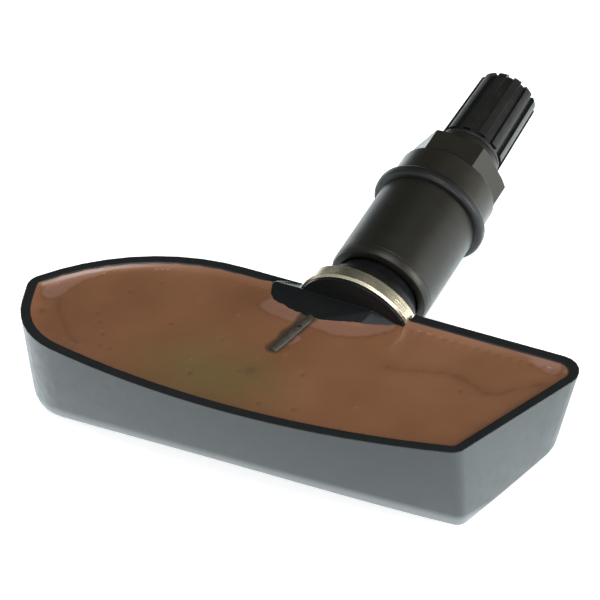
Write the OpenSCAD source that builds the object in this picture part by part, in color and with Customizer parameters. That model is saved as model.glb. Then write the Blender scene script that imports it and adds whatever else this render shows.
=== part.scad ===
// Tyre pressure sensor with a clamp-in valve.
// The origin is the centre of the seat washer's outer face, where the wheel is clamped.
// X runs along the housing, Y away from it on the valve's side, Z up out of the potting.

/* [Housing] */
// From the valve's axis to the square end
right_reach = 34.9; // [30:0.1:45]
// From the valve's axis to the rounded end
left_reach = 44.8; // [40:0.1:55]
// Width from the straight back edge to the front edge
body_w = 29.5; // [26:0.1:36]
// Depth of the front wall over the middle of the arched underside
body_depth = 10.4; // [9.5:0.1:14]
// Height of the rim above the seat's centre
rim_z = 3; // [2:0.1:4]
// Distance of the straight back edge behind the seat's centre
back_gap = 0.5; // [0.3:0.1:1.5]
// Radius of the long front edge
front_r = 141; // [100:1:300]
// Place of the front edge's outermost point along X
front_x = -12; // [-20:0.5:-4]
// Angle of the square end in plan
end_slant = 20.6; // [5:0.1:30]
// Radius of the back corner at the square end
back_corner_r = 3.4; // [3:0.1:6]
// Radius of the front corner at the square end
front_corner_r = 2.4; // [2:0.1:6]
// Radius of the swept back edge at the rounded end
sweep_r = 32; // [28:0.5:40]
// Where the swept edge starts along X
sweep_x = -18; // [-22:0.5:-15]
// How far the swept edge steps in from the straight back edge
sweep_step = 0.8; // [0:0.1:2]
// Radius of the small corner at the tip of the rounded end
tip_corner_r = 2.5; // [2:0.1:5]
// Angle of the short flat at the tip of the rounded end
tip_slant = 22; // [10:1:30]
// Radius of the round front corner
round_corner_r = 12.3; // [8:0.1:15]
// Thickness of the walls
wall = 1.4; // [1.2:0.1:2]
// Thickness of the floor
floor_t = 1.5; // [1:0.1:2.5]
// Radius of the underside's edges
edge_r = 1.3; // [1:0.1:2]
// Radius where the walls meet the floor inside
inner_r = 1; // [0.5:0.1:1.5]
// Taper of the walls
draft = 1.5; // [0:0.5:3]
// Inward lean of the back wall
back_lean = 22; // [0:1:33]
// Radius of the underside's arch along the front edge
arch_front_r = 115; // [110:5:250]
// Radius of the underside's arch along the back edge
arch_back_r = 285; // [200:5:400]
// Place of the arch's crown along X
arch_x = -6; // [-10:0.5:5]
// Rise of the underside towards the valve
rise = 6.5; // [4:0.5:9]

/* [Potting] */
// Depth of the potting's surface below the rim
potting_drop = 1; // [0.5:0.1:1.5]
// How far the pressure tube stands out of the potting
tube_proud = 0.4; // [0.1:0.05:0.6]

/* [Valve] */
// Tilt of the valve above the rim's plane
valve_tilt = 9.4; // [0:0.1:15]
// Radius of the boss that carries the valve
boss_r = 8.8; // [8:0.1:9]
// Thickness of the boss's round face plate
boss_face = 0.5; // [0.4:0.05:1]
// Height of the saddle over the boss, above the rim
saddle_h = 0.9; // [0.6:0.1:1.5]
// Radius of the seat washer
washer_r = 9.1; // [8:0.1:9.5]
// Thickness of the seat washer
washer_t = 2.25; // [1:0.05:3]
// Radius of the grommet's shoulder on the washer
grommet_r = 7.3; // [6.8:0.1:8]
// Radius of the grommet's nose inside the sleeve
grommet_nose_r = 6; // [5.5:0.1:6.5]
// Length of the grommet
grommet_len = 7.4; // [6:0.1:9]
// Where the sleeve starts, from the washer's outer face
sleeve_start = 4.35; // [4:0.05:5]
// Length of the sleeve
sleeve_len = 15.45; // [12:0.05:20]
// Radius of the sleeve
sleeve_r = 7.6; // [7:0.1:9]
// Length of the rounding at the sleeve's mouth
sleeve_lip = 1.5; // [1:0.1:2]
// Radius of the clamp ring
ring_r = 8.65; // [8:0.05:10]
// Thickness of the clamp ring
ring_t = 1.75; // [1:0.05:3]
// Length of the nut's round part
nut_round = 4.7; // [3:0.1:7]
// Length of the nut's hexagon with its shoulder
nut_hex = 4.25; // [3:0.05:7]
// Width across the hexagon's flats
nut_af = 13; // [12:0.1:13.5]
// Pitch of the nut's thread
nut_pitch = 0.75; // [0.5:0.05:1]
// Radius of the stem in the nut
stem_r = 4; // [3.9:0.05:4.2]
// Radius of the stem's neck in the boss
neck_r = 2.4; // [2.2:0.1:2.5]
// Length of the thin collar on the nut
collar_len = 2.6; // [1.5:0.05:3.5]
// Radius of the thin collar on the nut
collar_r = 5.3; // [5:0.1:5.8]
// Gap between the nut's collar and the cap
cap_gap = 0.2; // [0.18:0.02:1]
// Length of the cap
cap_len = 13.7; // [12.5:0.05:16]
// Radius of the cap's ribs at the mouth
cap_r = 4.95; // [4.85:0.05:5.5]
// Radius of the cap's ribs at the tip
cap_tip_r = 4.65; // [4.6:0.05:5]
// Length of the cap's smooth band
cap_band = 0.9; // [0.6:0.1:2]
// Number of ribs round the cap
cap_ribs = 12; // [8:1:16]
// Radius of the valve thread under the cap
thread_r = 3.85; // [3.8:0.01:3.9]

/* [Valve core] */
// Radius of the air passage through the stem
air_r = 1.2; // [1:0.1:1.5]
// Radius of the core's threaded head
core_r = 2.42; // [2.3:0.01:2.5]
// Radius of the core's pin
pin_r = 0.4; // [0.3:0.05:0.5]
// Travel of the core's pin
pin_travel = 1.2; // [0.8:0.1:1.4]

/* [Electronics] */
// Share of the tray's inner width that the coin cell takes
cell_share = 0.61; // [0.5:0.01:0.62]
// Thickness of the coin cell
cell_t = 3.2; // [2.4:0.1:3.2]
// Thickness of the circuit board
board_t = 0.8; // [0.6:0.1:1]
// Height of the circuit board's top below the rim
board_drop = 2.8; // [2.7:0.1:3]
// Length of the antenna's ferrite bar
ferrite_len = 8; // [6:0.5:12]

/* [Hidden] */
$fn = 64;

// Clearances
running = 0.05;   // between pieces that turn or slide on each other
seat_gap = 0.02;  // between pieces that stay put
through = 1;      // how far a cut runs past the face that it opens

// Housing outline: six arcs joined by straight lines, anticlockwise seen from above
back_y = -back_gap;
front_c = [front_x, back_y - body_w + front_r];
back_c = [right_reach - back_corner_r, back_y - back_corner_r];
sweep_c = [sweep_x, back_y - sweep_step - sweep_r];
end_n = [cos(end_slant), -sin(end_slant)];
end_off = end_n * back_c + back_corner_r;
front_a = -end_slant - acos((end_off - front_corner_r - end_n * front_c) / (front_r - front_corner_r));
front_corner_c = front_c + (front_r - front_corner_r) * [cos(front_a), sin(front_a)];
tip_a = acos((tip_corner_r - left_reach - sweep_x) / (sweep_r - tip_corner_r));
tip_c = sweep_c + (sweep_r - tip_corner_r) * [cos(tip_a), sin(tip_a)];
tip_n_a = 180 + tip_slant;
tip_n = [cos(tip_n_a), sin(tip_n_a)];
tip_off = tip_n * tip_c + tip_corner_r;
round_a = tip_n_a + acos((tip_off - round_corner_r - tip_n * front_c) / (front_r - round_corner_r));
round_c = front_c + (front_r - round_corner_r) * [cos(round_a), sin(round_a)];
// Each arc: centre, radius, first angle, last angle, steps, steps of the line after it
ARCS = [
    [back_c, back_corner_r, -end_slant, 90, 6, 13],
    [sweep_c, sweep_r, 90, tip_a, 9, 1],
    [tip_c, tip_corner_r, tip_a, tip_n_a, 4, 2],
    [round_c, round_corner_r, tip_n_a, round_a, 7, 1],
    [front_c, front_r, round_a, 360 + front_a, 17, 1],
    [front_corner_c, front_corner_r, 360 + front_a, 360 - end_slant, 5, 6]
];
least_r = 0.15;   // smallest radius left when an outline is set inwards
function arc_point(arc, inset, a) = arc[0] + max(arc[1] - inset, least_r) * [cos(a), sin(a)];
// Which way the lean moves a point: the back corner slides along the square end
function lean_way(i, a) = i == 0 ? [tan(end_slant), 1] : [0, max(0, sin(a))];
// The outline set inwards, as points [x, y, lean along x, lean along y]
function outline(inset) = [
    for (i = [0 : len(ARCS) - 1])
        let (arc = ARCS[i], k = (i + 1) % len(ARCS), next = ARCS[k],
            ends = concat(arc_point(arc, inset, arc[3]), lean_way(i, arc[3])),
            starts = concat(arc_point(next, inset, next[2]), lean_way(k, next[2])))
            each concat(
                [for (j = [0 : arc[4] - (arc[5] == 1 ? 1 : 0)])
                    let (a = arc[2] + (arc[3] - arc[2]) * j / arc[4])
                        concat(arc_point(arc, inset, a), lean_way(i, a))],
                [for (j = [1 : 1 : arc[5] - 1]) ends + (starts - ends) * j / arc[5]]
            )
];

// Underside: an arch along X, flatter towards the back, that rises towards the valve
front_y = back_y - body_w;
function back_share(y) = min(1, max(0, (y - front_y) / body_w));
function arch_bend(y) = 1 / arch_front_r + (1 / arch_back_r - 1 / arch_front_r) * back_share(y);
function arch_drop(x, y) = (x - arch_x) * (x - arch_x) / 2 * arch_bend(y);
function under_z(x, y) = rim_z - body_depth + tan(rise) * (y - front_y) - arch_drop(x, y);
function lean_by(z) = tan(back_lean) * max(0, rim_z - z);
function leaned(p, z) = [p.x - lean_by(z) * p[2], p.y - lean_by(z) * p[3], z];

// A round-edged tray form: the outline at top_z, down to an edge of radius r over the underside
spine_y = back_y - body_w / 2;
spine_from = -31;
spine_step = 5.2;
spine_last = 10;
draw_share = 0.5; // how far the ring between the edge and the spine is drawn in
function spine_index(p) = min(spine_last, max(0, round((p.x - spine_from) / spine_step)));
function edge_ring(inset, lift, r, a) = [
    for (p = outline(inset + r * (1 - cos(a))))
        leaned(p, under_z(p.x, p.y) + lift + r * (1 - sin(a)))
];
function draw_in(ring, lift) = [
    for (p = ring)
        let (s = [spine_from + spine_index(p) * spine_step, spine_y],
            q = [p.x, p.y] * (1 - draw_share) + s * draw_share)
            [q.x, q.y, under_z(q.x, q.y) + lift]
];
function on_wall(p, foot, z) = let (t = (rim_z - z) / (rim_z - foot.z))
    [p.x + (foot.x - p.x) * t, p.y + (foot.y - p.y) * t, z];
function form_rings(top_in, foot_in, lift, r, top_z) =
    let (edges = [for (a = [0, 30, 60, 90]) edge_ring(foot_in, lift, r, a)], rim = outline(top_in),
        top = [for (i = [0 : len(rim) - 1]) on_wall(rim[i], edges[0][i], top_z)])
        concat([top], edges, [draw_in(edges[3], lift)]);
function form_spine(lift) = [
    for (m = [0 : spine_last])
        let (x = spine_from + m * spine_step) [x, spine_y, under_z(x, spine_y) + lift]
];
// Faces of the sides and of the underside, for points that start at number s
function form_faces(rings, s) =
    let (n = len(rings[0]), k = len(rings), base = s + (k - 1) * n, mid = s + k * n) concat(
        [
            for (j = [0 : k - 2], i = [0 : n - 1])
                let (a = s + j * n + i, b = s + j * n + (i + 1) % n) each [[a, b, b + n], [a, b + n, a + n]]
        ],
        [
            for (i = [0 : n - 1])
                let (b = (i + 1) % n, m = spine_index(rings[k - 1][i]), w = spine_index(rings[k - 1][b]))
                    each concat([[base + i, base + b, mid + m]], m == w ? [] : [[base + b, mid + w, mid + m]])
        ]
    );
function flat_list(lists) = [for (part = lists) each part];
function turned(faces) = [for (f = faces) [f[2], f[1], f[0]]];
taper = tan(draft) * body_depth;
function inner_rings(top_z) = form_rings(wall, wall + taper, floor_t, inner_r, top_z);
module tray_shell() {
    outer = form_rings(0, taper, 0, edge_r, rim_z);
    inner = inner_rings(rim_z);
    n = len(outer[0]);
    s = len(outer) * n + spine_last + 1;
    rim = [
        for (i = [0 : n - 1])
            let (b = (i + 1) % n) each [[b, i, s + i], [b, s + i, s + b]]
    ];
    polyhedron(
        concat(flat_list(outer), form_spine(0), flat_list(inner), form_spine(floor_t)),
        concat(form_faces(outer, 0), rim, turned(form_faces(inner, s)))
    );
}
module cavity_form(top_z) {
    rings = inner_rings(top_z);
    polyhedron(
        concat(flat_list(rings), form_spine(floor_t)),
        concat([[for (i = [len(rings[0]) - 1 : -1 : 0]) i]], form_faces(rings, 0))
    );
}

// Along the valve's axis: local Z points out through the valve, local Y down
module on_valve() rotate([valve_tilt - 90, 0, 0]) children();
module ring_on_axis(r, bore, from, to) on_valve() difference() {
    translate([0, 0, from]) cylinder(r = r, h = to - from);
    translate([0, 0, from - through]) cylinder(r = bore, h = to - from + 2 * through);
}

// Heights in the tray
potting_z = rim_z - potting_drop;
crest_z = rim_z + saddle_h;
board_z = rim_z - board_drop;

// Stations along the valve, from the washer's outer face
sleeve_end = sleeve_start + sleeve_len;
ring_end = sleeve_end + ring_t;
hex_from = ring_end + nut_round;
hex_end = hex_from + nut_hex;
collar_end = hex_end + collar_len;
cap_from = collar_end + cap_gap;
cap_end = cap_from + cap_len;
stem_end = cap_end - 2.4;
boss_back = 6;        // depth of the boss behind the washer
recess_r = max(washer_r, boss_r) + 0.3;
boss_body_r = recess_r + 0.5;
face_over = 0.3;      // how far the boss is drawn past its face before the recess is cut

// Boss and saddle, the moulded root that holds the valve
module boss_body() on_valve() rotate_extrude() polygon([
    [0, -washer_t - boss_back],
    [boss_body_r * 0.45, -washer_t - boss_back],
    [boss_body_r * 0.78, -washer_t - boss_back * 0.72],
    [boss_body_r * 0.95, -washer_t - boss_back * 0.36],
    [boss_body_r, -washer_t - boss_face],
    [recess_r - 0.1, face_over - washer_t],
    [0, face_over - washer_t]
]);
module boss_below() intersection() {
    boss_body();
    translate([-body_w, -body_w, potting_z - 0.5 - body_w]) cube([2 * body_w, 2 * body_w, body_w]);
}
saddle_ball = 0.5;
crest_y = -washer_t - 1.15;
saddle_foot_z = potting_z - 0.6;
SADDLE = [
    [-11.9, crest_y, crest_z - saddle_ball],
    [3.4, crest_y + 0.1, crest_z - saddle_ball],
    [6.8, crest_y + 1.1, rim_z - 0.3],
    [8.6, crest_y + 1, potting_z - 0.3],
    [-12.3, crest_y + 1.5, rim_z - saddle_ball],
    [-10, crest_y + 2, rim_z - saddle_ball],
    [6, crest_y + 2, rim_z - saddle_ball],
    [-11.9, crest_y - 1, saddle_foot_z],
    [-10.5, crest_y - 2.3, saddle_foot_z],
    [-5.2, crest_y - 3.5, saddle_foot_z],
    [-1.4, crest_y - 2.4, saddle_foot_z],
    [1.8, crest_y - 1.6, saddle_foot_z],
    [3.6, crest_y + 0.4, saddle_foot_z],
    [5.4, crest_y + 1.4, saddle_foot_z]
];
module saddle() hull() for (p = SADDLE) translate(p) sphere(r = saddle_ball, $fn = 24);
module face_plate() on_valve() translate([0, 0, -washer_t - boss_face])
    cylinder(r = boss_r, h = boss_face + face_over);
module washer_recess() on_valve() translate([0, 0, -washer_t])
    cylinder(r = recess_r, h = washer_t + 12);
neck_from = washer_t + 0.9;
foot_end = washer_t + 2;
foot_r = neck_r + 0.7;
vent_r = 0.8;
vent_at = -washer_t - 1.2;
module vent() on_valve() translate([0, 0, vent_at]) rotate([-90, 0, 0])
    cylinder(r = vent_r, h = 14, $fn = 24);
module stem_socket() on_valve() {
    translate([0, 0, -neck_from - 0.01]) cylinder(r = neck_r, h = neck_from + through);
    translate([0, 0, -foot_end]) cylinder(r = foot_r, h = foot_end - neck_from);
}

// Pressure tube that lies in the potting, from the saddle to the sensor
tube_r = 0.75;
tube_bore = 0.35;
TUBE_A = [-4.6, crest_y - 2.2];
TUBE_B = [-6, back_y - 14.4];
tube_z = potting_z + tube_proud - tube_r;
tube_span = TUBE_B - TUBE_A;
tube_turn = atan2(tube_span.y, tube_span.x);
module along_tube() translate([TUBE_A.x, TUBE_A.y, tube_z])
    rotate([0, 90, tube_turn]) children();
module tube_solid() along_tube() cylinder(r = tube_r, h = norm(tube_span), $fn = 32);

module housing() color("DimGray") difference() {
    union() {
        tray_shell();
        boss_below();
        saddle();
        face_plate();
    }
    washer_recess();
    stem_socket();
    vent();
    tube_solid();
}

// Circuit board, the cell beside it and what the board carries
cell_d = (body_w - 2 * wall) * cell_share;
cell_gap = 1.6;       // from the cell to the front wall
CELL = [-30, front_y + wall + taper + cell_gap + cell_d / 2];
tab_out_x = CELL.x + cell_d / 2 + 0.6;
tab_on_x = tab_out_x + 4;
board_from = [tab_out_x + 1.3, front_y + 6.6];
board_to = [24, back_y - 10.7];
board_round = 1.5;
module circuit_board() color("DarkGreen") translate([0, 0, board_z - board_t]) linear_extrude(board_t)
    hull() for (x = [board_from.x + board_round, board_to.x - board_round],
        y = [board_from.y + board_round, board_to.y - board_round])
        translate([x, y]) circle(r = board_round);
module on_board(x, y, size) translate([x - size.x / 2, y - size.y / 2, board_z]) cube(size);

cell_z = board_z - 0.6 - cell_t;
cell_edge = 0.5;
module battery_cell() color("Silver") translate([CELL.x, CELL.y, cell_z]) rotate_extrude() polygon([
    [0, 0],
    [cell_d / 2 - 1.2, 0],
    [cell_d / 2 - 1.2, cell_edge],
    [cell_d / 2 - cell_edge, cell_edge],
    [cell_d / 2, 2 * cell_edge],
    [cell_d / 2, cell_t],
    [0, cell_t]
]);
tab_t = 0.2;
tab_w = 4;
module battery_tab(from_z, on_z, y) {
    low = min(from_z, on_z);
    translate([CELL.x - 3, y - tab_w / 2, from_z]) cube([tab_out_x - CELL.x + 3, tab_w, tab_t]);
    translate([tab_out_x - tab_t, y - tab_w / 2, low]) cube([tab_t, tab_w, abs(on_z - from_z) + tab_t]);
    translate([tab_out_x - tab_t, y - tab_w / 2, on_z]) cube([tab_on_x - tab_out_x + tab_t, tab_w, tab_t]);
}
module battery_tab_top() color("Gainsboro") battery_tab(cell_z + cell_t, board_z, CELL.y + 3);
module battery_tab_bottom() color("Gainsboro")
    battery_tab(cell_z - tab_t, board_z - board_t - tab_t, CELL.y - 3);

chip = [5, 5, 1.5];
chip_gap = 0.25;      // from the tube's end to the sensor
module sensor_chip() color("DarkSlateGray") translate([TUBE_B.x, TUBE_B.y, board_z])
    rotate([0, 0, tube_turn]) translate([chip_gap, -chip.y / 2, 0]) cube(chip);
module port_tube() color("DarkSlateGray") difference() {
    tube_solid();
    along_tube() translate([0, 0, 1]) cylinder(r = tube_bore, h = norm(tube_span), $fn = 24);
    along_tube() translate([0, 0, 3.4]) rotate([0, -90, 0]) cylinder(r = tube_bore, h = 2, $fn = 24);
}

FERRITE = [14, front_y + 9.4];
ferrite = [ferrite_len, 2, 1];
wind_t = 0.25;
wind_len = ferrite_len * 0.55;
module ferrite_at(z) translate([FERRITE.x, FERRITE.y, board_z + z]) children();
module antenna_core() color("Black") ferrite_at(wind_t) translate([-ferrite.x / 2, -1, 0]) cube(ferrite);
module antenna_winding() color("Chocolate") ferrite_at(0) difference() {
    translate([-wind_len / 2, -1 - wind_t, 0]) cube([wind_len, 2 + 2 * wind_t, ferrite.z + 2 * wind_t]);
    translate([-ferrite.x / 2, -1, wind_t]) cube(ferrite);
}
module crystal_can() color("LightGray") on_board(3.5, board_to.y - 3.3, [3.2, 2.5, 0.8]);
module rf_filter() color("DarkSlateGray") on_board(7.6, board_to.y - 3.3, [3.4, 3.4, 0.9]);
module chip_capacitors() color("Tan") for (i = [0 : 5])
    on_board(-2 + 2.4 * i, board_from.y + 0.8, [1, 0.6, 0.5]);
module chip_resistors() color("Black") for (i = [0 : 4])
    on_board(12 + 1.8 * i, board_to.y - 2, [0.6, 1, 0.35]);
strap_x = 22;
strap_h = 1.4;
strap_t = 0.3;
strap_len = board_to.y - board_from.y - 3.2;
strap_y = (board_to.y + board_from.y) / 2;
module antenna_strap() color("Gainsboro") difference() {
    on_board(strap_x, strap_y, [1.2, strap_len, strap_h]);
    translate([0, 0, -0.1]) on_board(strap_x, strap_y, [2, strap_len - 2 * strap_t, strap_h - 0.2]);
}
module embedded() {
    circuit_board();
    battery_cell();
    battery_tab_top();
    battery_tab_bottom();
    sensor_chip();
    tube_solid();
    antenna_core();
    antenna_winding();
    crystal_can();
    rf_filter();
    chip_capacitors();
    chip_resistors();
    antenna_strap();
}
module potting() color("SaddleBrown") difference() {
    cavity_form(potting_z);
    saddle();
    boss_below();
    face_plate();
    washer_recess();
    stem_socket();
    vent();
    embedded();
}

// Valve
chamber_from = collar_end - 5;
chamber_r = core_r + 0.02;
module valve_stem() color("DarkGoldenrod") difference() {
    on_valve() rotate_extrude() polygon([
        [0, -foot_end],
        [foot_r, -foot_end],
        [foot_r, -neck_from],
        [neck_r, -neck_from],
        [neck_r, -washer_t],
        [stem_r, -washer_t],
        [stem_r, collar_end - 0.4],
        [thread_r - 0.15, collar_end],
        [thread_r, collar_end + 0.3],
        [thread_r, stem_end - 0.5],
        [thread_r - 0.5, stem_end],
        [0, stem_end]
    ]);
    on_valve() translate([0, 0, vent_at]) cylinder(r = air_r, h = 60);
    on_valve() translate([0, 0, chamber_from]) cylinder(r = chamber_r, h = 60);
    vent();
}
bevel = 0.3;
module seat_washer() color("Silver") on_valve() rotate_extrude($fn = 96) polygon([
    [stem_r + seat_gap, -washer_t],
    [washer_r - bevel, -washer_t],
    [washer_r, -washer_t + bevel],
    [washer_r, -bevel],
    [washer_r - bevel, 0],
    [stem_r + seat_gap, 0]
]);
module grommet() color("Black") on_valve() rotate_extrude() polygon([
    [stem_r + seat_gap, 0],
    [grommet_r, 0],
    [grommet_r + 0.3, 0.5],
    [grommet_r + 0.1, sleeve_start * 0.4],
    [(grommet_r + grommet_nose_r) / 2, sleeve_start * 0.7],
    [grommet_nose_r + 0.1, sleeve_start * 0.95],
    [grommet_nose_r, sleeve_start * 1.1],
    [grommet_nose_r, grommet_len],
    [stem_r + seat_gap, grommet_len]
]);
groove = 0.07;
groove_at = sleeve_start + sleeve_lip;
mouth_r = grommet_nose_r + 0.15;
module sleeve() color([0.17, 0.16, 0.14]) on_valve() rotate_extrude($fn = 96) polygon([
    [mouth_r + 0.2, sleeve_start],
    [sleeve_r - sleeve_lip * 0.5, sleeve_start],
    [sleeve_r - sleeve_lip * 0.15, sleeve_start + sleeve_lip * 0.15],
    [sleeve_r, sleeve_start + sleeve_lip * 0.5],
    [sleeve_r, groove_at - groove],
    [sleeve_r - groove, groove_at],
    [sleeve_r, groove_at + groove],
    [sleeve_r, sleeve_end],
    [stem_r + running, sleeve_end],
    [stem_r + running, grommet_len + seat_gap],
    [mouth_r, grommet_len + seat_gap],
    [mouth_r, sleeve_start + 0.2]
]);
ring_round = ring_t * 0.32;
ring_side = ring_r - ring_round;
ring_bore = stem_r + running;
ring_floor = sleeve_end + seat_gap;
module clamp_ring() color([0.12, 0.12, 0.14]) on_valve() rotate_extrude($fn = 96) polygon(concat(
    [[ring_bore, ring_floor]],
    [for (a = [-90 : 18 : 0]) [ring_side + ring_round * cos(a), ring_floor + ring_round * (1 + sin(a))]],
    [for (a = [0 : 18 : 90]) [ring_side + ring_round * cos(a), ring_end + ring_round * (sin(a) - 1)]],
    [[ring_bore, ring_end]]
));
nut_floor = ring_end + seat_gap;
hex_r = nut_af / 2 / cos(30);
nut_r = hex_r + 0.05;
hex_turn = 10;
shoulder = (nut_r - nut_af / 2) * 1.05;
module hex_nut() color([0.18, 0.17, 0.14]) on_valve() difference() {
    union() {
        rotate_extrude($fn = 96) polygon([
            [0, nut_floor],
            [nut_r - bevel, nut_floor],
            [nut_r, nut_floor + bevel],
            [nut_r, hex_from],
            [nut_af / 2, hex_from + shoulder],
            [nut_af / 2 - 0.2, hex_end],
            [collar_r, hex_end],
            [collar_r, hex_end + collar_len * 0.45],
            [collar_r - 0.35, hex_end + collar_len * 0.55],
            [collar_r - 0.35, collar_end - 0.2],
            [collar_r - 0.55, collar_end],
            [0, collar_end]
        ]);
        intersection() {
            translate([0, 0, hex_from - 0.5]) rotate([0, 0, hex_turn])
                cylinder(r = hex_r, h = nut_hex + 0.5, $fn = 6);
            translate([0, 0, hex_from - 0.5]) cylinder(r1 = hex_r + (nut_hex + 0.5) * 1.9,
                r2 = hex_r - 0.55, h = nut_hex + 0.5, $fn = 96);
        }
    }
    translate([0, 0, nut_floor - through]) cylinder(r = stem_r + running, h = 30);
}

// Valve core: a sprung pin in a threaded body, with a cup seal under it
core_top = stem_end - 0.8;
core_head = 4.6;
core_low = chamber_from + 3.6;
spring_from = core_low + 1;
spring_len = 4.2;
pin_top = stem_end - 0.3;
pin_low = core_low - 1.6;
pin_hole = pin_r + running;
chamber_in = 1.3;
collar_in = 1.1;
module core_body() color("Goldenrod") on_valve() rotate_extrude($fn = 48) polygon([
    [pin_hole, core_low],
    [1.7, core_low],
    [1.9, core_low + 0.6],
    [1.9, core_top - core_head],
    [core_r, core_top - core_head + 0.4],
    [core_r, core_top],
    [pin_hole, core_top],
    [pin_hole, spring_from + spring_len + 0.6],
    [chamber_in, spring_from + spring_len + 0.6],
    [chamber_in, spring_from],
    [pin_hole, spring_from]
]);
seal_from = core_low + 1.2;
module core_seal() color("Red") ring_on_axis(chamber_r - 0.01, 1.9, seal_from, seal_from + 1.4);
module core_pin() color("Goldenrod") on_valve() rotate_extrude($fn = 48) polygon([
    [0, pin_low],
    [pin_r, pin_low],
    [pin_r, spring_from + spring_len],
    [collar_in, spring_from + spring_len],
    [collar_in, spring_from + spring_len + 0.5],
    [pin_r, spring_from + spring_len + 0.5],
    [pin_r, pin_top],
    [0, pin_top]
]);
module core_cup_seal() color("Black") ring_on_axis(1.6, pin_r, pin_low + 0.3, core_low - 0.02);
// The spring is drawn at its length with the pin pressed, standing on the chamber floor
spring_drawn = spring_len - pin_travel - 0.05;
spring_wire = 0.14;
spring_mid = (pin_r + chamber_in) / 2 + 0.05;
coils = 6;
module core_spring() color("Silver") on_valve() for (i = [0 : coils])
    translate([0, 0, spring_from + spring_wire + (spring_drawn - 2 * spring_wire) * i / coils])
        rotate_extrude($fn = 24) translate([spring_mid, 0]) circle(r = spring_wire, $fn = 8);

// Cap: a ribbed shell with a soft liner in its closed end
cap_bore = thread_r + running;
cap_root = 0.5;
cap_body_r = cap_r - cap_root;
cap_body_tip_r = cap_tip_r - cap_root;
liner_t = 0.7;
liner_from = stem_end + 0.02;
rib_w = 1.25;
rib_h = cap_len - cap_band;
module cap_shell() color([0.13, 0.13, 0.12]) on_valve() difference() {
    union() {
        rotate_extrude($fn = 96) polygon([
            [0, cap_from],
            [cap_r - 0.4, cap_from],
            [cap_r - 0.2, cap_from + 0.2],
            [cap_r - 0.2, cap_from + cap_band * 0.55],
            [cap_body_r, cap_from + cap_band * 0.7],
            [cap_body_tip_r, cap_end - 0.8],
            [cap_body_tip_r - 0.25, cap_end - 0.25],
            [cap_body_tip_r - 0.8, cap_end],
            [0, cap_end]
        ]);
        intersection() {
            for (i = [0 : cap_ribs - 1]) rotate([0, 0, i * 360 / cap_ribs])
                translate([0, -rib_w / 2, cap_from + cap_band - 0.1]) cube([cap_r + 1, rib_w, rib_h + 0.1]);
            rotate_extrude($fn = 96) polygon([
                [0, cap_from + cap_band - 0.1],
                [cap_r, cap_from + cap_band - 0.1],
                [cap_tip_r, cap_end - 0.6],
                [cap_tip_r - 0.4, cap_end - 0.12],
                [0, cap_end - 0.12]
            ]);
        }
    }
    translate([0, 0, cap_from - through])
        cylinder(r = cap_bore, h = liner_from + liner_t + through - cap_from);
}
module cap_seal() color("Black") on_valve() translate([0, 0, liner_from])
    cylinder(r = cap_bore - running, h = liner_t - seat_gap);

housing();
potting();
circuit_board();
battery_cell();
battery_tab_top();
battery_tab_bottom();
sensor_chip();
port_tube();
antenna_core();
antenna_winding();
crystal_can();
rf_filter();
chip_capacitors();
chip_resistors();
antenna_strap();
valve_stem();
seat_washer();
grommet();
sleeve();
clamp_ring();
hex_nut();
core_body();
core_seal();
core_pin();
core_spring();
core_cup_seal();
cap_shell();
cap_seal();
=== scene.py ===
import math
import random

import bpy
from mathutils import Matrix, Vector, noise as grain
from mathutils.geometry import delaunay_2d_cdt


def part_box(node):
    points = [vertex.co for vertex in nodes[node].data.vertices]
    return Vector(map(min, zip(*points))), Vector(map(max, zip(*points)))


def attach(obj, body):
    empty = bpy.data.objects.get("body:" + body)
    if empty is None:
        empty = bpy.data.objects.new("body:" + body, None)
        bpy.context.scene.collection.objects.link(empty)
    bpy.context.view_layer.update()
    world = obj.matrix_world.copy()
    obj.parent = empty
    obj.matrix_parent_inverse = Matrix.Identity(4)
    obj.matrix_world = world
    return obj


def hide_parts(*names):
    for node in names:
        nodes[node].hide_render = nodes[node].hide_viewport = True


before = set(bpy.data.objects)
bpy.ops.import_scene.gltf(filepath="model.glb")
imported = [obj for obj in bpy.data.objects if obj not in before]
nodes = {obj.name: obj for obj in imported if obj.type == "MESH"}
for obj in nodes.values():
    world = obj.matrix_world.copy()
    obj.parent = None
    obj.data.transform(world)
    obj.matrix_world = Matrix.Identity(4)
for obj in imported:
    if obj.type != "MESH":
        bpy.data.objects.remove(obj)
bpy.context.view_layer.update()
rng = random.Random(7)

# one millimetre, in metres
MM = 0.001
# the valve's axis passes through the origin and rises towards the back
TILT = math.radians(9.4)
# the resin's level and the thickness of the housing's wall, in mm
POT_Z = 2.0
WALL = 1.4
# the smallest radius that a corner keeps when the outline is set inwards, in mm
LEAST_R = 0.15


def direction(angle):
    return Vector((math.cos(angle), math.sin(angle)))


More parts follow.
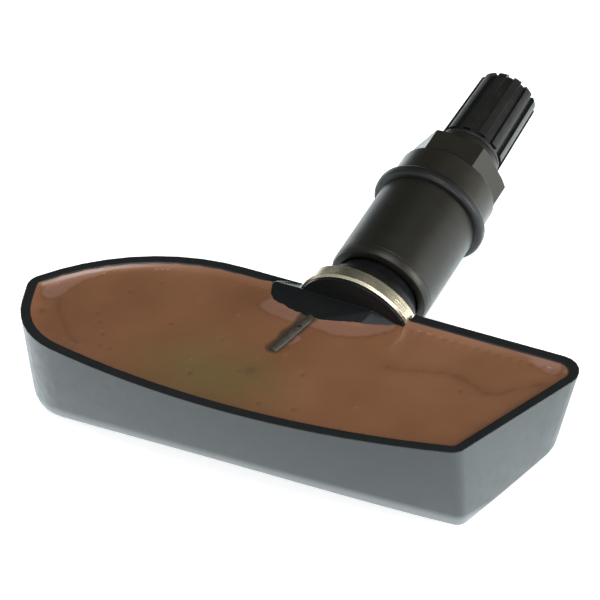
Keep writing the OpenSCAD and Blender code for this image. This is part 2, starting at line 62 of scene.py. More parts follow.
def outline_arcs():
    """The housing's outline, in mm, anticlockwise from the back right corner.

    Each row is an arc's centre, radius, first and last angle, the steps along it, and the steps along the
    straight stretch that follows it.
    """
    right, left, width, back_y = 34.9, 44.8, 29.5, -0.5
    front_r, front_x, end_slant, tip_slant = 141.0, -12.0, math.radians(20.6), 22.0
    back_r, corner_r, tip_r, round_r = 3.4, 2.4, 2.5, 12.3
    sweep_r, sweep_x, sweep_step = 32.0, -18.0, 0.8

    front_c = Vector((front_x, back_y - width + front_r))
    back_c = Vector((right - back_r, back_y - back_r))
    sweep_c = Vector((sweep_x, back_y - sweep_step - sweep_r))

    # the straight right end lies along the back right corner and the front right corner
    end_normal = direction(-end_slant)
    end_gap = end_normal.dot(back_c) + back_r
    corner_a = -end_slant - math.acos((end_gap - corner_r - end_normal.dot(front_c)) / (front_r - corner_r))
    corner_c = front_c + (front_r - corner_r) * direction(corner_a)

    # the left tip lies in the back sweep, and its straight end runs into the rounded front left corner
    tip_a = math.acos((tip_r - left - sweep_x) / (sweep_r - tip_r))
    tip_c = sweep_c + (sweep_r - tip_r) * direction(tip_a)
    tip_end = math.radians(180.0 + tip_slant)
    tip_normal = direction(tip_end)
    tip_gap = tip_normal.dot(tip_c) + tip_r
    round_a = tip_end + math.acos((tip_gap - round_r - tip_normal.dot(front_c)) / (front_r - round_r))
    round_c = front_c + (front_r - round_r) * direction(round_a)

    turn = 2 * math.pi
    return [
        (back_c, back_r, -end_slant, math.pi / 2, 14, 30),
        (sweep_c, sweep_r, math.pi / 2, tip_a, 34, 2),
        (tip_c, tip_r, tip_a, tip_end, 10, 6),
        (round_c, round_r, tip_end, round_a, 24, 2),
        (front_c, front_r, round_a, turn + corner_a, 60, 2),
        (corner_c, corner_r, turn + corner_a, turn - end_slant, 12, 16),
    ]


ARCS = outline_arcs()


def outline(inset):
    """The housing's outline set inwards, in mm, as (x, y) points, anticlockwise."""
    points = []
    for i, (centre, radius, first, last, arc_steps, straight_steps) in enumerate(ARCS):
        r = max(radius - inset, LEAST_R)
        for j in range(arc_steps + 1):
            a = first + (last - first) * j / arc_steps
            points.append((centre.x + r * math.cos(a), centre.y + r * math.sin(a)))
        centre, radius, first = ARCS[(i + 1) % len(ARCS)][:3]
        r = max(radius - inset, LEAST_R)
        x0, y0 = points[-1]
        x1, y1 = centre.x + r * math.cos(first), centre.y + r * math.sin(first)
        for j in range(1, straight_steps):
            k = j / straight_steps
            points.append((x0 + (x1 - x0) * k, y0 + (y1 - y0) * k))
    return points


# helpers for nodes and pieces
def linear(code):
    """A colour's hexadecimal screen code as a linear RGBA colour."""
    out = []
    for i in (0, 2, 4):
        v = int(code[i:i + 2], 16) / 255
        out.append(v / 12.92 if v <= 0.04045 else ((v + 0.055) / 1.055) ** 2.4)
    return (*out, 1.0)


def link(name, verts, faces, body, material):
    """A smooth piece of the object from points in mm."""
    mesh = bpy.data.meshes.new(name)
    mesh.from_pydata([tuple(c * MM for c in v) for v in verts], [], faces)
    mesh.validate()
    mesh.update()
    obj = bpy.data.objects.new(name, mesh)
    bpy.context.scene.collection.objects.link(obj)
    for poly in mesh.polygons:
        poly.use_smooth = True
    mesh.materials.append(material)
    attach(obj, body)
    return obj


def new_material(name):
    m = bpy.data.materials.new(name)
    m.use_nodes = True
    t = m.node_tree
    t.nodes.clear()
    out = t.nodes.new("ShaderNodeOutputMaterial")
    bsdf = t.nodes.new("ShaderNodeBsdfPrincipled")
    t.links.new(bsdf.outputs[0], out.inputs[0])
    coord = t.nodes.new("ShaderNodeTexCoord")
    return m, t, bsdf, coord.outputs["Object"]


def feed(t, socket, value):
    """Links a node's output to a socket, or sets the socket to a plain value."""
    if isinstance(value, bpy.types.NodeSocket):
        t.links.new(value, socket)
    else:
        socket.default_value = value


def noise(t, vector, scale, detail=4.0):
    n = t.nodes.new("ShaderNodeTexNoise")
    n.inputs["Scale"].default_value = scale
    n.inputs["Detail"].default_value = detail
    n.inputs["Roughness"].default_value = 0.55
    t.links.new(vector, n.inputs["Vector"])
    return n.outputs["Fac"]


def remap(t, value, a, b, lo, hi, smooth=False):
    """The value's range a to b as lo to hi, held at both ends."""
    n = t.nodes.new("ShaderNodeMapRange")
    if smooth:
        n.interpolation_type = "SMOOTHSTEP"
    for key, v in (("From Min", a), ("From Max", b), ("To Min", lo), ("To Max", hi)):
        n.inputs[key].default_value = v
    t.links.new(value, n.inputs["Value"])
    return n.outputs["Result"]


def mottle(t, vector, scale, lo, hi, detail=4.0):
    """Noise spread over the range from lo to hi."""
    return remap(t, noise(t, vector, scale, detail), 0.3, 0.7, lo, hi)


def mix(t, factor, one, two):
    n = t.nodes.new("ShaderNodeMix")
    n.data_type = "RGBA"
    # sockets 6 and 7 are the two colours, and output 2 is the mixed one
    for index, v in ((0, factor), (6, one), (7, two)):
        feed(t, n.inputs[index], v)
    return n.outputs[2]


def calc(t, operation, one, two):
    n = t.nodes.new("ShaderNodeMath")
    n.operation = operation
    feed(t, n.inputs[0], one)
    feed(t, n.inputs[1], two)
    return n.outputs[0]


def length(t, vector):
    n = t.nodes.new("ShaderNodeVectorMath")
    n.operation = "LENGTH"
    t.links.new(vector, n.inputs[0])
    return n.outputs["Value"]


def combine(t, x, y):
    n = t.nodes.new("ShaderNodeCombineXYZ")
    t.links.new(x, n.inputs[0])
    t.links.new(y, n.inputs[1])
    return n.outputs[0]


def separate(t, vector):
    n = t.nodes.new("ShaderNodeSeparateXYZ")
    t.links.new(vector, n.inputs[0])
    return n.outputs


def bump(t, bsdf, height, strength, distance, after=None):
    """Bumps on the surface. The distance is in metres, and after is the normal that they start from."""
    n = t.nodes.new("ShaderNodeBump")
    n.inputs["Strength"].default_value = strength
    n.inputs["Distance"].default_value = distance
    t.links.new(height, n.inputs["Height"])
    if after:
        t.links.new(after, n.inputs["Normal"])
    t.links.new(n.outputs[0], bsdf.inputs["Normal"])
    return n.outputs[0]


def spot(t, vector, centre, radius, stretch=(1, 1, 1)):
    """1 at the centre, falling smoothly to 0 at the radius. Sizes are in mm."""
    n = t.nodes.new("ShaderNodeMapping")
    n.inputs["Location"].default_value = tuple(-c * MM * s for c, s in zip(centre, stretch))
    n.inputs["Scale"].default_value = stretch
    t.links.new(vector, n.inputs["Vector"])
    return remap(t, length(t, n.outputs[0]), 0.0, radius * MM, 1.0, 0.0, True)


# materials
def turned_rings(t, co, pitch):
    """Noise in rings about the valve's axis, as a lathe leaves them. The pitch is in metres."""
    n = t.nodes.new("ShaderNodeMapping")
    n.inputs["Rotation"].default_value = (math.pi / 2 - TILT, 0, 0)
    t.links.new(co, n.inputs["Vector"])
    x, y, along = separate(t, n.outputs[0])
    return noise(t, combine(t, length(t, combine(t, x, y)), along), 1 / pitch, 2.0)


def shade(name, base, rough, metal=0.0, vary=0.25, scale=300.0, bumps=0.1, bump_scale=3000.0,
          rough_vary=0.08, turned=0.0, turned_pitch=0.00012, spec=0.5, edge=0.12):
    """A material with a little change of colour and roughness, surface grain, and edges worn round.

    turned is the strength of the lathe marks, and edge is the radius of the worn edges, in mm.
    """
    grain_depth, ring_depth = 0.00005, 0.00003
    m, t, bsdf, co = new_material(name)
    dark = tuple(c * (1 - vary) for c in base) + (1.0,)
    light = tuple(min(1.0, c * (1 + vary)) for c in base) + (1.0,)
    t.links.new(mix(t, mottle(t, co, scale, 0.0, 1.0), dark, light), bsdf.inputs["Base Color"])
    wear = mottle(t, co, scale * 2.3, rough - rough_vary, rough + rough_vary, 6.0)
    t.links.new(wear, bsdf.inputs["Roughness"])
    bsdf.inputs["Metallic"].default_value = metal
    bsdf.inputs["Specular IOR Level"].default_value = spec
    worn = t.nodes.new("ShaderNodeBevel")
    worn.samples = 6
    worn.inputs["Radius"].default_value = edge * MM
    grained = bump(t, bsdf, noise(t, co, bump_scale, 3.0), bumps, grain_depth, worn.outputs[0])
    if turned:
        bump(t, bsdf, turned_rings(t, co, turned_pitch), turned, ring_depth, grained)
    return m


def resin_material():
    """Brown cast resin, with a green patch and the marks that resin_surface writes to its points."""
    warp_scale, warp_reach = 120.0, 0.006
    patch_at, patch_r, patch_stretch = (-8.5, -20.5, 2), 12.5, (0.65, 1.0, 1)
    m, t, bsdf, co = new_material("potting_resin")
    warp = t.nodes.new("ShaderNodeTexNoise")
    warp.inputs["Scale"].default_value = warp_scale
    t.links.new(co, warp.inputs["Vector"])
    scaled = t.nodes.new("ShaderNodeVectorMath")
    scaled.operation = "SCALE"
    scaled.inputs["Scale"].default_value = warp_reach
    t.links.new(warp.outputs["Color"], scaled.inputs[0])
    warped = t.nodes.new("ShaderNodeVectorMath")
    warped.operation = "ADD"
    t.links.new(co, warped.inputs[0])
    t.links.new(scaled.outputs[0], warped.inputs[1])

    colour = mix(t, mottle(t, co, 90.0, 0.0, 1.0, 2.0), linear("6b472e"), linear("775138"))
    patch = spot(t, warped.outputs[0], patch_at, patch_r, patch_stretch)
    colour = mix(t, remap(t, patch, 0.0, 1.0, 0.0, 0.85), colour, linear("5d5230"))
    marks = t.nodes.new("ShaderNodeVertexColor")
    marks.layer_name = "resin_marks"
    split = t.nodes.new("ShaderNodeSeparateColor")
    t.links.new(marks.outputs["Color"], split.inputs[0])
    pale, smear, flow = split.outputs
    for mark, most, tint in ((flow, 0.55, "4a2f20"), (pale, 0.5, "836256"), (smear, 0.8, "2d261e")):
        colour = mix(t, remap(t, mark, 0.0, 1.0, 0.0, most), colour, linear(tint))
    t.links.new(colour, bsdf.inputs["Base Color"])

    t.links.new(remap(t, noise(t, co, 150.0, 2.0), 0.0, 1.0, 0.21, 0.39), bsdf.inputs["Roughness"])
    bsdf.inputs["Coat Weight"].default_value = 0.12
    bsdf.inputs["Coat Roughness"].default_value = 0.12
    waves = bump(t, bsdf, noise(t, co, 110.0, 3.0), 0.12, 0.0004)
    bump(t, bsdf, noise(t, co, 900.0, 3.0), 0.06, 0.00006, waves)
    return m


def polish_saddle(t, bsdf, co):
    """The saddle and its fillets are smoother and duller than the walls."""
    saddle_at, saddle_r, saddle_stretch = (-2, -3.5, 3), 16, (1, 1.9, 1.3)
    near = remap(t, spot(t, co, saddle_at, saddle_r, saddle_stretch), 0.12, 0.3, 0.0, 1.0, True)
    rough = bsdf.inputs["Roughness"].links[0].from_socket
    t.links.new(calc(t, "MULTIPLY", rough, remap(t, near, 0.0, 1.0, 1.0, 0.55)), bsdf.inputs["Roughness"])
    t.links.new(remap(t, near, 0.0, 1.0, 0.5, 0.12), bsdf.inputs["Specular IOR Level"])
    bsdf.inputs["Specular Tint"].default_value = (0.92, 0.97, 0.98, 1)


def paint_lower_edge_reflection(t, bsdf, co):
    """A painted reflection of the bright floor makes the lower edge of the front wall pale. Sizes are in
    metres.
    """
    crown_x, crown_z = -0.007, -0.00725
    arch_spread, arch_lean = 0.3, 0.0193
    band_from, band_to = 0.0009, 0.0023
    front_from, front_to = -0.017, -0.021
    x, y, z = separate(t, co)
    beside = calc(t, "ADD", x, -crown_x)
    drop = calc(t, "SUBTRACT", calc(t, "DIVIDE", calc(t, "MULTIPLY", beside, beside), arch_spread),
                calc(t, "MULTIPLY", beside, arch_lean))
    above = calc(t, "ADD", calc(t, "ADD", z, -crown_z), drop)
    lower = calc(t, "MULTIPLY", remap(t, above, band_from, band_to, 1.0, 0.0, True),
                 remap(t, y, front_from, front_to, 0.0, 1.0, True))
    base = bsdf.inputs["Base Color"].links[0].from_socket
    # painted reflection: the wall's colour is mixed towards a pale blue-grey in a band along its lower edge,
    # standing in for the floor seen in the rounded edge
    t.links.new(mix(t, lower, base, (0.15, 0.16, 0.163, 1)), bsdf.inputs["Base Color"])


def tray_material():
    m = shade("tray_plastic", (0.0065, 0.0072, 0.0074), 0.38, vary=0.1, bumps=0.15, bump_scale=2500.0,
              rough_vary=0.05, edge=0.25)
    t = m.node_tree
    bsdf = next(n for n in t.nodes if n.type == "BSDF_PRINCIPLED")
    co = next(n for n in t.nodes if n.type == "TEX_COORD").outputs["Object"]
    polish_saddle(t, bsdf, co)
    paint_lower_edge_reflection(t, bsdf, co)
    return m


MATERIALS = {
    "tray": tray_material(),
    "resin": resin_material(),
    "tube": shade("tube_plastic", (0.035, 0.032, 0.024), 0.42, vary=0.3, scale=900.0),
    "sleeve": shade("valve_dark", (0.017, 0.016, 0.012), 0.41, 0.6, vary=0.08, bumps=0.05, turned=0.3,
                    rough_vary=0.03),
    "ring": shade("ring_dark", (0.005, 0.005, 0.005), 0.46, spec=0.3, vary=0.12, bumps=0.04),
    "nut": shade("nut_dark", (0.024, 0.022, 0.016), 0.36, 0.6, vary=0.1, bumps=0.06, turned=0.15,
                 rough_vary=0.03),
    "cap": shade("cap_plastic", (0.007, 0.007, 0.006), 0.36, spec=0.4, vary=0.12, bumps=0.15,
                 bump_scale=2500.0),
    "washer": shade("washer_nickel", (0.50, 0.45, 0.33), 0.27, 1.0, vary=0.05, scale=500.0, bumps=0.03,
                    turned=0.6, rough_vary=0.02, turned_pitch=0.0002),
    "rubber": shade("grommet_rubber", (0.003, 0.003, 0.003), 0.5, vary=0.2, bumps=0.08, spec=0.25),
    "brass": shade("stem_brass", (0.62, 0.44, 0.19), 0.3, 1.0, vary=0.15, bumps=0.06, turned=0.3),
    "seal": shade("seal_red", (0.35, 0.03, 0.02), 0.45, vary=0.15),
    "steel": shade("tab_nickel", (0.62, 0.60, 0.56), 0.3, 1.0, vary=0.1),
    "chip": shade("chip_plastic", (0.02, 0.02, 0.022), 0.5, vary=0.2),
    "board": shade("board_laminate", (0.01, 0.10, 0.035), 0.4, vary=0.2),
    "ceramic": shade("chip_ceramic", (0.38, 0.26, 0.15), 0.5, vary=0.15),
    "copper": shade("copper_wire", (0.60, 0.24, 0.09), 0.32, 1.0, vary=0.2),
}

# the solids that each material is for
PAINT = {
    "tray": ["housing"],
    "resin": ["potting"],
    "tube": ["port_tube"],
    "sleeve": ["sleeve"],
    "ring": ["clamp_ring"],
    "nut": ["hex_nut"],
    "cap": ["cap_shell"],
    "washer": ["seat_washer"],
    "rubber": ["grommet", "core_cup_seal", "cap_seal"],
    "brass": ["valve_stem", "core_body", "core_pin"],
    "seal": ["core_seal"],
    "steel": ["battery_cell", "battery_tab_top", "battery_tab_bottom", "crystal_can", "antenna_strap",
              "core_spring"],
    "chip": ["sensor_chip", "antenna_core", "rf_filter", "chip_resistors"],
    "board": ["circuit_board"],
    "ceramic": ["chip_capacitors"],
    "copper": ["antenna_winding"],
}


def add_weld(obj, reach):
    obj.modifiers.new("weld", "WELD").merge_threshold = reach


def add_sharp_edges(obj, degrees):
    obj.modifiers.new("edges", "EDGE_SPLIT").split_angle = math.radians(degrees)


def paint_solids():
    weld_reach, sharp_from = 0.000002, 28
    for key, names in PAINT.items():
        for name in names:
            obj = nodes[name]
            obj.data.materials.clear()
            obj.data.materials.append(MATERIALS[key])
            for poly in obj.data.polygons:
                poly.use_smooth = True
            add_weld(obj, weld_reach)
            add_sharp_edges(obj, sharp_from)


paint_solids()

# the resin's surface, in mm, with its raised edge, pits and marks
CELL = 0.3
# the insets from the wall of the rows of points along the raised edge
EDGE_ROWS = [0.0, 0.12, 0.25, 0.4, 0.6, 0.78]
# the reach of the grid of points inside that edge, and how near the edge they may lie
GRID_LEFT, GRID_RIGHT, GRID_FRONT = -44, 35, -31
INNER_GAP = 0.25
# the surface's mean height and least height above the solid, and how far it climbs at the wall
MEAN_LIFT, LEAST_LIFT = 0.15, 0.015
CLIMB, CLIMB_REACH = 0.78, 0.7
SADDLE_CLIMB, SADDLE_REACH = 0.25, 0.4
# the hollow along the tube and along the lines of flow
TUBE_DIP, TUBE_REACH = 0.1, 1.3
FLOW_DIP, FLOW_REACH = 0.03, 0.4
SWELLS, SWELL_H = 5, 0.011
SPECKS = 36

SADDLE_FOOT = [
    (-13, -2), (-11.8, -4.7), (-10.6, -5.6), (-8.5, -5.7), (-5.4, -6.6), (-1.4, -5.6), (1.8, -5.0),
    (3.6, -3.6), (5, -2.4), (7, -1.6),
]
TUBE_LINE = [(-4.9, -6.0), (-5.95, -14.2)]
# lines that pale stains follow, with the stains' radius
STAINS = [
    ([(-41.0, -16.6), (-39.9, -13.0), (-38.2, -9.8)], 1.5),
    ([(-11.2, -6.3), (-9.6, -6.9), (-7.6, -7.2), (-6.2, -7.0)], 1.4),
    ([(-3.0, -6.7), (0.6, -6.6), (3.4, -5.6), (5.4, -3.4)], 1.85),
    ([(27.6, -2.0), (30.8, -2.7)], 1.2),
    ([(-6.2, -14.2), (-4.3, -11.4)], 0.9),
]
# lines of slow flow in the set resin, with their strength
FLOWS = [
    ([(10.0, -11.6), (12.7, -11.2), (14.9, -10.4), (18.1, -9.4), (20.5, -9.5), (23.0, -10.4),
      (24.6, -11.1), (26.2, -10.6), (27.6, -9.0), (29.2, -7.6), (30.8, -6.2)], 0.8),
    ([(-39.2, -17.5), (-38.2, -19.4), (-36.4, -21.2), (-33.8, -23.7), (-31.0, -25.3)], 0.6),
]
# the pits that show: x, y, radius and depth. A depth below 0 is a raised speck
PITS = [
    (-40.1, -20.7, 0.6, 0.12), (-31.0, -11.8, 0.4, 0.09), (-27.9, -8.2, 0.35, 0.08),
    (-25.6, -8.4, 0.3, 0.06), (-6.7, -19.8, 1.2, 0.08), (2.8, -24.7, 0.4, 0.1),
    (-31.1, -25.1, 0.6, -0.1), (-32.2, -25.2, 0.5, -0.08), (23.3, -12.8, 0.28, -0.07),
    (21.6, -9.2, 0.25, -0.06), (14.7, -10.7, 0.25, -0.06), (20.6, -14.7, 0.25, -0.06),
    (22.1, -14.0, 0.25, -0.06), (-22.0, -16.0, 0.25, -0.05), (-41.5, -17.0, 0.35, -0.08),
]


def line_gap(points, x, y):
    """The distance from a place to a line through points."""
    best = 99.0
    for (ax, ay), (bx, by) in zip(points, points[1:]):
        ux, uy = bx - ax, by - ay
        k = max(0.0, min(1.0, ((x - ax) * ux + (y - ay) * uy) / (ux * ux + uy * uy)))
        best = min(best, math.hypot(x - ax - k * ux, y - ay - k * uy))
    return best


def fade(value, low, high):
    """0 at low, 1 at high, smooth between them."""
    k = max(0.0, min(1.0, (value - low) / (high - low)))
    return k * k * (3 - 2 * k)


def bell(value, reach):
    """1 at 0, and nearly 0 from two reaches on."""
    return math.exp(-(value / reach) ** 2)


def ripple(x, y, scale, layer, depth):
    return grain.noise(Vector((x * scale, y * scale, layer))) * depth


def speck_marks(x, y, specks):
    """How pale and how dark the pits and specks make a place."""
    pale = dark = 0.0
    least_depth = 0.05
    for px, py, r, depth in specks:
        q = (x - px) ** 2 + (y - py) ** 2
        if abs(depth) <= least_depth or q >= 4 * r * r:
            continue
        if depth > 0:
            dark = max(dark, min(1.0, depth * 9) * math.exp(-2 * q / (r * r)))
        else:
            pale = max(pale, min(0.6, -depth * 5) * math.exp(-2 * q / (r * r)))
    return pale, dark


def resin_marks(x, y, specks):
    """How pale, how smeared and how dark with flow the resin is at a place."""
    stain_from, stain_to, ring_at, ring_reach = 0.78, 1.0, 1.08, 0.12
    flow_reach, halo_reach, halo = 0.32, 1.1, 0.45
    smear_from, smear_to = 0.9, 1.5
    wander = ripple(x, y, 0.45, 1.3, 0.35) + ripple(x, y, 1.3, 4.1, 0.12)
    pale, flow = speck_marks(x, y, specks)
    for points, radius in STAINS:
        gap = line_gap(points, x, y) / radius + wander
        pale = max(pale, 1 - fade(gap, stain_from, stain_to))
        flow = max(flow, 0.5 * bell(gap - ring_at, ring_reach))
    for points, strength in FLOWS:
        gap = line_gap(points, x, y) + wander
        flow = max(flow, strength * bell(gap, flow_reach), halo * strength * bell(gap, halo_reach))
    smear = 1 - fade(line_gap(TUBE_LINE, x, y) + 1.2 * wander, smear_from, smear_to)
    return pale, smear, flow


def resin_height(x, y, edge, swells, specks):
    """The height of the resin at a place that is edge mm from the wall."""
    z = POT_Z + MEAN_LIFT + CLIMB * math.exp(-edge / CLIMB_REACH)
    for x_rate, x_start, y_rate, y_start in swells:
        z += SWELL_H * math.sin(x_rate * x + x_start) * math.sin(y_rate * y + y_start)
    z += SADDLE_CLIMB * math.exp(-line_gap(SADDLE_FOOT, x, y) / SADDLE_REACH)
    z -= TUBE_DIP * bell(line_gap(TUBE_LINE, x, y), TUBE_REACH)
    for points, strength in FLOWS:
        z -= FLOW_DIP * strength * bell(line_gap(points, x, y), FLOW_REACH)
    for px, py, r, depth in specks:
        q = (x - px) ** 2 + (y - py) ** 2
        if q < 6 * r * r:
            z -= depth * math.exp(-q / (r * r))
    return max(z, POT_Z + LEAST_LIFT)


def inner_points(border):
    """Points on a staggered grid that aren't near the border, with their distance from it."""
    gaps = {}
    for row in range(int(GRID_LEFT / CELL), int(GRID_RIGHT / CELL)):
        for column in range(int(GRID_FRONT / CELL), 0):
            x, y = (row + 0.5 * (column % 2)) * CELL, column * CELL
            gap = min(math.hypot(x - bx, y - by) for bx, by in border)
            if gap > INNER_GAP:
                gaps[(x, y)] = gap
    return gaps


def resin_surface():
    # a swell's rate and start along x and along y
    swell_spans = [(0.05, 0.35), (0, 6.28)] * 2
    swells = [tuple(rng.uniform(*span) for span in swell_spans) for _ in range(SWELLS)]
    # a speck's x, y, radius and depth
    speck_spans = [(-38, 28), (-26, -8), (0.24, 0.42), (-0.12, 0.15)]
    specks = PITS + [tuple(rng.uniform(*span) for span in speck_spans) for _ in range(SPECKS)]

    # rows of points along the wall, where the surface climbs
    wall_inset = WALL - 0.02
    verts, faces = [], []
    for inset in EDGE_ROWS:
        border = outline(wall_inset + inset)
        verts += [(x, y, resin_height(x, y, inset, swells, specks)) for x, y in border]
    n = len(border)
    for j in range(len(EDGE_ROWS) - 1):
        for i in range(n):
            a, b = j * n + i, j * n + (i + 1) % n
            faces.append((a, b, b + n, a + n))

    # even cells inside the last row
    gaps = inner_points(border)
    near = {(round(x, 4), round(y, 4)): gap for (x, y), gap in gaps.items()}
    places = [Vector(p) for p in border] + [Vector(p) for p in gaps]
    inner, _, cells, *_ = delaunay_2d_cdt(places, [], [list(range(n))], 1, 1e-6)
    # grid points outside the border are in no cell, and are left out
    used = sorted({i for cell in cells for i in cell})
    index = {i: len(verts) + k for k, i in enumerate(used)}
    for i in used:
        x, y = inner[i]
        edge = EDGE_ROWS[-1] + near.get((round(x, 4), round(y, 4)), 0.0)
        verts.append((x, y, resin_height(x, y, edge, swells, specks)))
    faces += [tuple(index[i] for i in cell) for cell in cells]

    obj = link("resin_surface", verts, faces, "sensor", MATERIALS["resin"])
    layer = obj.data.color_attributes.new("resin_marks", "FLOAT_COLOR", "POINT")
    for i, (x, y, _) in enumerate(verts):
        layer.data[i].color = (*resin_marks(x, y, specks), 1.0)
    add_weld(obj, 0.000005)


resin_surface()

# the stem, with its outside thread, in mm along the valve's axis
STEM_R, BORE_R, AIR_R, NECK_R, FOOT_R, MOUTH_R = 4.0, 2.44, 1.2, 2.4, 3.1, 3.5
THREAD_R, THREAD_ROOT, PITCH = 3.85, 3.4, 0.79375
STEM_LOW, AIR_FROM, FOOT_TOP, NECK_TOP = -4.25, -3.45, -3.15, -2.25
BORE_FROM, THREAD_FROM, STEM_END = 28.1, 33.4, 44.6
MOUTH_CHAMFER, BORE_CHAMFER = 0.35, 0.3
BORE_MOUTH_R, MOUTH_INNER_R = 2.6, 3.35
# how far the stem narrows where its thread starts, and over what length
NARROWING, NARROWING_LEN = 0.4, 0.5
ROUND_STEPS = 48


def around(r, z):
    """A ring of points about local Z."""
    angles = [2 * math.pi * i / ROUND_STEPS for i in range(ROUND_STEPS)]
    return [(r * math.cos(a), r * math.sin(a), z) for a in angles]


def thread(z0, z1):
    """A threaded surface along local Z, as points and faces."""
    rows_per_pitch, run_out, end_height = 8, 0.4, 0.4
    flank, crest = 3.2, 1.25
    rows = int((z1 - z0) / PITCH * rows_per_pitch) + 1
    verts, faces = [], []
    for j in range(rows):
        z = z0 + (z1 - z0) * j / (rows - 1)
        for i in range(ROUND_STEPS):
            a = 2 * math.pi * i / ROUND_STEPS
            turn = ((z - z0) / PITCH - i / ROUND_STEPS) % 1.0
            full = z0 + run_out < z < z1 - run_out
            height = min(1.0, max(0.0, crest - abs(turn - 0.5) * flank)) if full else end_height
            r = THREAD_ROOT + (THREAD_R - THREAD_ROOT) * height
            verts.append((r * math.cos(a), r * math.sin(a), z))
    for j in range(rows - 1):
        for i in range(ROUND_STEPS):
            a, b = j * ROUND_STEPS + i, j * ROUND_STEPS + (i + 1) % ROUND_STEPS
            faces.append((a, b, b + ROUND_STEPS, a + ROUND_STEPS))
    return verts, faces


def stem_piece():
    """The stem turned from its bore, mouth, thread and foot."""
    inner = [(AIR_R, AIR_FROM), (AIR_R, BORE_FROM), (BORE_R, BORE_FROM), (BORE_R, STEM_END - BORE_CHAMFER),
             (BORE_MOUTH_R, STEM_END), (MOUTH_INNER_R, STEM_END), (MOUTH_R, STEM_END - MOUTH_CHAMFER)]
    outer = [(STEM_R - NARROWING, THREAD_FROM), (STEM_R, THREAD_FROM - NARROWING_LEN), (STEM_R, NECK_TOP),
             (NECK_R, NECK_TOP), (NECK_R, FOOT_TOP), (FOOT_R, FOOT_TOP), (FOOT_R, STEM_LOW), (0.0, STEM_LOW)]
    verts, faces = thread(THREAD_FROM, STEM_END - MOUTH_CHAMFER)
    for profile in (inner, outer):
        first = len(verts)
        for r, z in profile:
            verts += around(r, z)
        for j in range(len(profile) - 1):
            for i in range(ROUND_STEPS):
                a = first + j * ROUND_STEPS + i
                b = first + j * ROUND_STEPS + (i + 1) % ROUND_STEPS
                faces.append((a, a + ROUND_STEPS, b + ROUND_STEPS, b))
    turn = Matrix.Rotation(TILT - math.pi / 2, 3, "X")
    verts = [tuple(turn @ Vector(v)) for v in verts]
    obj = link("stem_threaded", verts, faces, "sensor", MATERIALS["brass"])
    add_sharp_edges(obj, 40)
    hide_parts("valve_stem")


stem_piece()


# floor, world, lights and camera, in metres
def floor_material():
    """White to the camera, and bright in reflections, most of all beside the right end."""
    to_camera, in_reflection, beside_end = 0.62, 1.5, 2.9
    bright_at, bright_r = (58, -25, 0), 50
    m, t, bsdf, co = new_material("floor_white")
    tone = mix(t, noise(t, co, 3.0), (0.90, 0.90, 0.90, 1), (0.92, 0.92, 0.92, 1))
    t.links.new(tone, bsdf.inputs["Base Color"])
    bsdf.inputs["Roughness"].default_value = 0.8
    bsdf.inputs["Specular IOR Level"].default_value = 0.1
    ray = t.nodes.new("ShaderNodeLightPath")
    glossy = ray.outputs["Is Glossy Ray"]
    t.links.new(mix(t, glossy, (1, 1, 1, 1), (0.84, 0.96, 1, 1)), bsdf.inputs["Emission Color"])
    glow = remap(t, ray.outputs["Is Camera Ray"], 0, 1, 0.0, to_camera)
    beside = remap(t, spot(t, co, bright_at, bright_r), 0.0, 1.0, in_reflection, beside_end)
    strength = calc(t, "ADD", glow, calc(t, "MULTIPLY", beside, glossy))
    t.links.new(strength, bsdf.inputs["Emission Strength"])
    return m


def make_floor():
    half, below = 3, 0.0003
    corners = [(-half, -half, 0), (half, -half, 0), (half, half, 0), (-half, half, 0)]
    mesh = bpy.data.meshes.new("floor")
    mesh.from_pydata(corners, [], [(0, 1, 2, 3)])
    mesh.materials.append(floor_material())
    floor = bpy.data.objects.new("floor", mesh)
    floor.location.z = min(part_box(name)[0][2] for name in nodes) - below
    bpy.context.scene.collection.objects.link(floor)


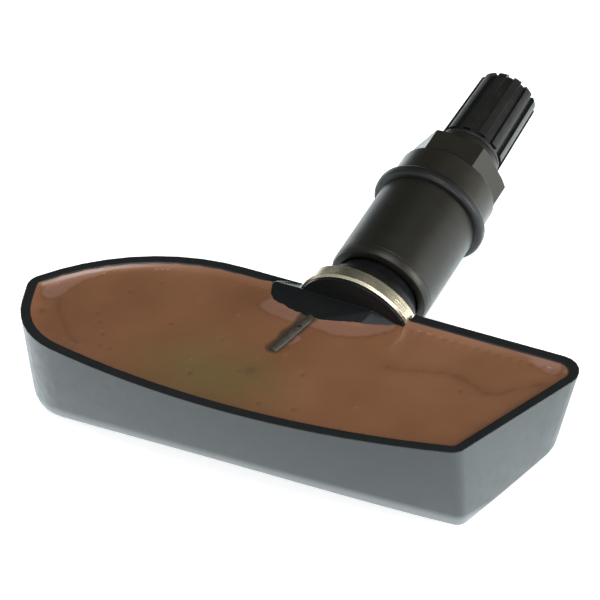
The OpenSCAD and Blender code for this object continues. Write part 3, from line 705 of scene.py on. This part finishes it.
def make_world():
    """Pale on the side of the camera, dark on the other."""
    pale, dark, pale_side, strength = (1.15, 1.17, 1.2, 1), (0.10, 0.11, 0.11, 1), (0.50, -0.80, -0.15), 0.9
    world = bpy.data.worlds.new("world")
    bpy.context.scene.world = world
    world.use_nodes = True
    t = world.node_tree
    t.nodes.clear()
    out = t.nodes.new("ShaderNodeOutputWorld")
    background = t.nodes.new("ShaderNodeBackground")
    coord = t.nodes.new("ShaderNodeTexCoord")
    dot = t.nodes.new("ShaderNodeVectorMath")
    dot.operation = "DOT_PRODUCT"
    t.links.new(coord.outputs["Generated"], dot.inputs[0])
    dot.inputs[1].default_value = pale_side
    side = remap(t, dot.outputs["Value"], -0.7, 0.9, 0.0, 1.0, True)
    t.links.new(mix(t, side, dark, pale), background.inputs["Color"])
    background.inputs["Strength"].default_value = strength
    t.links.new(background.outputs[0], out.inputs[0])


AIM = Vector((-0.005, -0.005, 0))


def area(name, place, size, power):
    """A lamp with a size of width and height, aimed at the object's middle."""
    data = bpy.data.lights.new(name, "AREA")
    data.shape = "RECTANGLE"
    data.size, data.size_y = size
    data.energy = power
    obj = bpy.data.objects.new(name, data)
    obj.location = place
    obj.rotation_euler = (AIM - Vector(place)).to_track_quat("-Z", "Y").to_euler()
    bpy.context.scene.collection.objects.link(obj)


def make_camera():
    """The photo's camera: it looks at the target from a heading and a height, turned about its own axis."""
    heading, rise, roll = math.radians(32.53), math.radians(38), math.radians(-5.14)
    target, distance = Vector((-7.34, -4.59, 3.02)) * MM, 0.4275
    level = Vector((math.cos(heading), math.sin(heading), 0))
    back = Vector((math.sin(heading) * math.cos(rise), -math.cos(heading) * math.cos(rise), math.sin(rise)))
    upright = back.cross(level)
    right = math.cos(roll) * level + math.sin(roll) * upright
    up = -math.sin(roll) * level + math.cos(roll) * upright
    place = target + back * distance
    data = bpy.data.cameras.new("camera")
    data.lens = 183.95
    data.sensor_width = 36
    data.clip_start, data.clip_end = 0.01, 10
    obj = bpy.data.objects.new("camera", data)
    rows = [(right[i], up[i], back[i], place[i]) for i in range(3)]
    obj.matrix_world = Matrix(rows + [(0, 0, 0, 1)])
    bpy.context.scene.collection.objects.link(obj)
    bpy.context.scene.camera = obj


make_floor()
make_world()
area("key_light", (0.15, -0.15, 0.75), (0.4, 0.4), 3.2)
area("front_light", (0.25, -0.7, 0.12), (0.6, 0.3), 2.6)
area("side_light", (0.6, 0.15, 0.12), (0.12, 0.4), 3.6)
area("left_light", (-0.5, 0.2, 0.3), (0.15, 0.3), 0.14)
make_camera()

scene = bpy.context.scene
scene.render.engine = "CYCLES"
scene.render.resolution_x = scene.render.resolution_y = 600
scene.render.resolution_percentage = 100
scene.cycles.samples = 256
scene.cycles.use_denoising = True
scene.view_settings.view_transform = "Standard"
